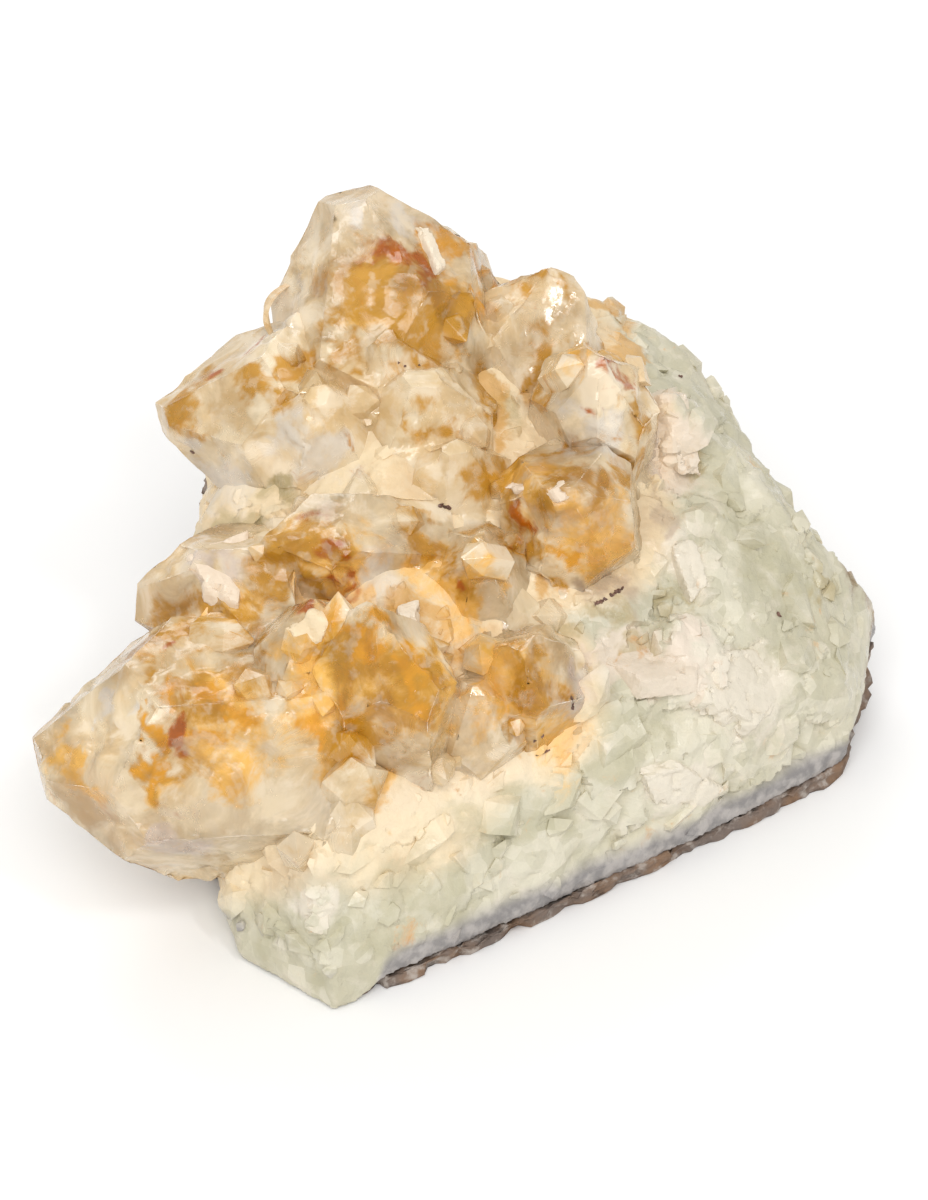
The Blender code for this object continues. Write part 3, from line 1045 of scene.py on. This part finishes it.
def add_marks(shader, body, ragged, share):
    """Lay the patches of colour over the body, with ragged edges, stronger on clear quartz."""
    layers = (
        ("green", GREEN_PATCH_AND_PIT_SHADE, 0.7), ("peach", PEACH_WHITE, 0.85), ("pale", MILK_WHITE, 0.8),
        ("white", SNOW_WHITE, 0.9), ("pink", PINK_WHITE, 0.9), ("umber", UMBER, 0.8),
        ("olive", OLIVE, 0.85), ("rust", RIND_RUST, 0.95),
        ("gold", GOLD, 0.9), ("amber", AMBER, 0.95), ("orange", ORANGE, 0.95), ("deep", DEEP_AMBER, 0.95),
    )
    uneven = shader.maths("ADD", shader.maths("MULTIPLY", ragged, 2.4), -1.35)
    for name, colour, strength in layers:
        weight = shader.plus(uneven, shader.attribute(name), 1.25)
        body = shader.mix(shader.ranged(weight, 0.12, 1.05, 0, strength * share), body, colour)
    return body


def milky_quartz_material():
    """Broken green-white quartz, peach and milky inside the crystals, grey agate at the skin."""
    shader = Shader("milky quartz")
    near_crystals = shader.attribute("warm")
    gap = shader.attribute("rind_gap")
    relief = shader.attribute("relief")
    broad = shader.noise(55, 3)
    fine = shader.noise(420, 5)
    ragged = shader.noise(190, 5, 0.7, 1.0)
    grain = shader.cells(420, output="Color")
    green = shader.plus(broad, shader.maths("ADD", grain, -0.5), 0.35)
    green = shader.mix(shader.ranged(green, 0.32, 0.68), PALE_GREEN, GREEN_WHITE)
    # Painted shade: the green darkens towards the dark pit green where the relief sinks into pits
    green = shader.mix(shader.ranged(relief, -0.2, -1.0, 0, 0.4), green, GREEN_PATCH_AND_PIT_SHADE)
    green = shader.mix(shader.ranged(fine, 0.5, 0.75, 0, 0.4), green, SNOW_WHITE)
    warm = shader.mix(shader.cloud(90, 4, 0.35, 0.65), WARM_QUARTZ, MILK_WHITE)
    tip = shader.maths("MULTIPLY", shader.attribute("tip_amber"), shader.ranged(ragged, 0.35, 0.62))
    warm = shader.mix(tip, warm, AMBER)
    edge = shader.plus(near_crystals, ragged, 0.8)
    body = shader.mix(shader.ranged(edge, 0.3, 1.4), green, warm)
    body = add_marks(shader, body, ragged, 0.7)
    agate = shader.mix(shader.cloud(500, 4, 0.35, 0.65), AGATE_GREY, AGATE_WHITE)
    edge = shader.plus(gap, shader.noise(120, 3), 2.4)
    body = shader.mix(shader.ranged(edge, AGATE_DEPTH + 3.2, AGATE_DEPTH + 0.4), body, agate)
    normal = shader.bump(shader.cells(620), 0.0005, 0.35)
    normal = shader.bump(shader.noise(1400, 4, 0.65), 0.0003, 0.4, normal)
    shine = shader.ranged(shader.cells(620, output="Color"), 0.25, 0.4, 0.18, 0.5)
    return shader.finish({
        "Base Color": body,
        "Roughness": shine,
        "IOR": QUARTZ_IOR,
        "Normal": normal,
    })


def clear_citrine_material():
    """Clear amber quartz, milky in places."""
    shader = Shader("clear citrine")
    ragged = shader.noise(190, 5, 0.7, 1.0)
    clearness = shader.attribute("clearness")
    milk = shader.mix(shader.cloud(90, 3, 0.35, 0.65), PEACH, MILK_WHITE)
    feathers = shader.noise(150, 5, 0.6, 0.5)
    milk = shader.mix(shader.ranged(feathers, 0.5, 0.62, 0, 0.75), milk, PEACH_WHITE)
    milk = shader.mix(shader.ranged(feathers, 0.46, 0.34, 0, 0.5), milk, TAN)
    milk = add_marks(shader, milk, ragged, 1.0)
    milk = shader.mix(shader.cloud(520, 3, 0.52, 0.66, 0, 0.35), milk, PEACH_WHITE)
    frost = shader.attribute("frost")
    normal = shader.bump(feathers, 0.0005, 0.3)
    depth = {"Color": CITRINE_GLOW, "Density": CITRINE_DENSITY}
    absorption = shader.node("ShaderNodeVolumeAbsorption", None, depth)
    shader.tree.links.new(absorption.outputs[0], shader.output.inputs["Volume"])
    clear = shader.ranged(feathers, 0.35, 0.65, 0.5, 0.22)
    clear = shader.maths("SUBTRACT", clear, shader.maths("MULTIPLY", frost, 0.15))
    clear = shader.maths("MULTIPLY", clear, shader.ranged(clearness, 0.1, 0.6, 0.5, 1.15))
    return shader.finish({
        "Base Color": milk,
        "Roughness": shader.ranged(ragged, 0.4, 0.65, 0.07, 0.32),
        "Transmission Weight": clear,
        "IOR": QUARTZ_IOR,
        "Normal": normal,
    })


def veil_material():
    """Fracture planes that catch the light, some of them stained."""
    shader = Shader("veil")
    warmth = shader.attribute("warmth")
    colour = shader.mix(shader.ranged(warmth, 0.2, 0.6), MILK_WHITE, GOLD)
    colour = shader.mix(shader.ranged(warmth, 0.6, 1.0), colour, ORANGE)
    colour = shader.mix(shader.cloud(700, 4, 0.4, 0.7, 0, 0.5), colour, SNOW_WHITE)
    roughness = shader.cloud(400, 4, 0.3, 0.7, 0.2, 0.4)
    return shader.finish({"Base Color": colour, "Roughness": roughness, "IOR": QUARTZ_IOR})


def inclusion_material():
    """Dark iron-stained grains."""
    shader = Shader("dark inclusion")
    colour = shader.mix(shader.cloud(900, 3, 0.35, 0.65), IRON_BLACK, IRON_BROWN)
    roughness = shader.cloud(500, 4, 0.3, 0.7, 0.4, 0.7)
    return shader.finish({"Base Color": colour, "Roughness": roughness})


def host_rock_material():
    """Brown altered basalt."""
    shader = Shader("host rock")
    colour = shader.mix(shader.cloud(130, 5, 0.35, 0.65), RIND_DARK, RIND_RUST)
    colour = shader.mix(shader.cloud(500, 4, 0.5, 0.7, 0, 0.8), colour, RIND_PALE)
    normal = shader.bump(shader.noise(700, 6, 0.7), 0.0006, 0.9)
    roughness = shader.cloud(300, 4, 0.3, 0.7, 0.7, 0.95)
    return shader.finish({"Base Color": colour, "Roughness": roughness, "Normal": normal})


def build_shard():
    """The thin curved splinter that stands off the top crystal."""
    builder = bmesh.new()
    rings = []
    steps = 14
    for step in range(steps + 1):
        part = step / steps
        low, middle, high = [Vector(place) for place in SHARD_PATH]
        centre = low.lerp(middle, part).lerp(middle.lerp(high, part), part) * MM
        bow = math.sin(math.pi * part)
        width = SHARD_WIDTH * (0.5 + 0.6 * bow) * MM
        thick = SHARD_THICKNESS * (0.6 + 0.5 * bow) * MM
        ring = []
        for corner in ((-1, -1), (1, -0.6), (1, 1), (-1, 0.6)):
            ring.append(builder.verts.new(centre + Vector((corner[0] * thick, corner[1] * width, 0))))
        rings.append(ring)
    for low_ring, high_ring in zip(rings, rings[1:]):
        for index in range(4):
            after = (index + 1) % 4
            builder.faces.new((low_ring[index], low_ring[after], high_ring[after], high_ring[index]))
    builder.faces.new(list(reversed(rings[0])))
    builder.faces.new(rings[-1])
    bmesh.ops.recalc_face_normals(builder, faces=builder.faces[:])
    item = new_object("shard", builder)
    for kind in PATCHES:
        add_number(item.data, kind, 0.4 * (kind == "amber"))
    add_number(item.data, "clearness", 0.6)
    add_number(item.data, "frost", 0.4)
    return item


def build_rind():
    """The rock skin with its knobs and grain."""
    builder = cad_builder("rock_rind")
    bmesh.ops.triangulate(builder, faces=builder.faces[:])
    split_long_edges(builder, RIND_EDGE)
    item = new_object("rind", builder)
    mesh = item.data
    places, normals = read_points(mesh)
    relief = np.clip(grain_relief(places, *RIND_GRAIN), -1.2, 1.2)
    moves = normals * ((relief - relief.mean()) * 0.9 - RIND_TRIM)[:, None]
    moves[:, 2] *= smooth_step(places[:, 2], 0.02, 0.5)
    places = places + moves
    write_points(mesh, places - FRONT_OUT * (front_mask(places) * FRONT_RIND_INSET)[:, None])
    soften(mesh, RIND_SMOOTH)
    return item


def place_camera():
    """The photograph's view: from the front, 40 degrees above the floor, with a long lens."""
    target, back = camera_frame()[:2]
    data = bpy.data.cameras.new("camera")
    data.sensor_width = 36.0
    data.lens = data.sensor_width * CAMERA_DISTANCE / PICTURE_HEIGHT
    camera = bpy.data.objects.new("camera", data)
    camera.location = target + back * CAMERA_DISTANCE * MM
    camera.rotation_mode = "QUATERNION"
    camera.rotation_quaternion = (-back).to_track_quat("-Z", "Y")
    data.clip_start, data.clip_end = 0.01, 10
    bpy.context.scene.collection.objects.link(camera)
    bpy.context.scene.camera = camera


def add_softbox(name, place, size, power):
    """A rectangular area light aimed at the middle of the specimen."""
    data = bpy.data.lights.new(name, "AREA")
    data.shape = "RECTANGLE"
    data.size, data.size_y = size
    data.energy = power
    light = bpy.data.objects.new(name, data)
    light.location = place
    light.rotation_mode = "QUATERNION"
    light.rotation_quaternion = (LIT_MIDDLE - Vector(place)).to_track_quat("-Z", "Y")
    bpy.context.scene.collection.objects.link(light)


def light_studio():
    """Plain soft studio light."""
    world = bpy.data.worlds.new("studio")
    bpy.context.scene.world = world
    world.use_nodes = True
    background = world.node_tree.nodes["Background"]
    background.inputs["Color"].default_value = DAYLIGHT
    background.inputs["Strength"].default_value = WORLD_STRENGTH
    for name, place, size, power in SOFTBOXES:
        add_softbox(name, place, size, power)


def lay_floor():
    """A plain pale floor."""
    bpy.ops.mesh.primitive_plane_add(size=FLOOR_SIZE, location=(0, 0, -FLOOR_DROP))
    floor = bpy.context.active_object
    floor.name = "floor"
    shader = Shader("pale floor")
    colour = shader.mix(shader.noise(3, 2), *FLOOR_GREYS)
    floor.data.materials.append(shader.finish({"Base Color": colour, "Roughness": 0.6}))


def wear(item, material):
    """Give a piece its material and its body."""
    item.data.materials.clear()
    item.data.materials.append(material)
    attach(item, "root")


solid_trees = [BVHTree.FromBMesh(cad_builder(node)) for node in ("citrine_cluster", "rock_rind")]
STROKES = read_strokes()
PATCHES = [kind for kind in STROKES if kind != "dark"]
clear = build_clear_crystals()
heart = build_heart()
dress_heart(heart)
dress_skin(clear, tree_of(clear))
small = build_small_crystals()
dress_small_crystals(small, tree_of(clear))
veils = build_veils(tree_of(clear))
inclusions = build_inclusions((tree_of(heart), tree_of(clear)))
skin = build_rind()
grains = build_wall_grains()
dress_grains(grains, tree_of(heart))
chips = build_chips()
shard = build_shard()
wear(clear, clear_citrine_material())
wear(shard, clear.data.materials[0])
wear(veils, veil_material())
wear(inclusions, inclusion_material())
wear(heart, milky_quartz_material())
wear(grains, heart.data.materials[0])
wear(small, clear.data.materials[0])
wear(chips, heart.data.materials[0])
wear(skin, host_rock_material())
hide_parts("citrine_cluster")
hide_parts("citrine_cluster")
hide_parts("rock_rind")
place_camera()
light_studio()
lay_floor()
bpy.context.scene.view_settings.view_transform = "Standard"
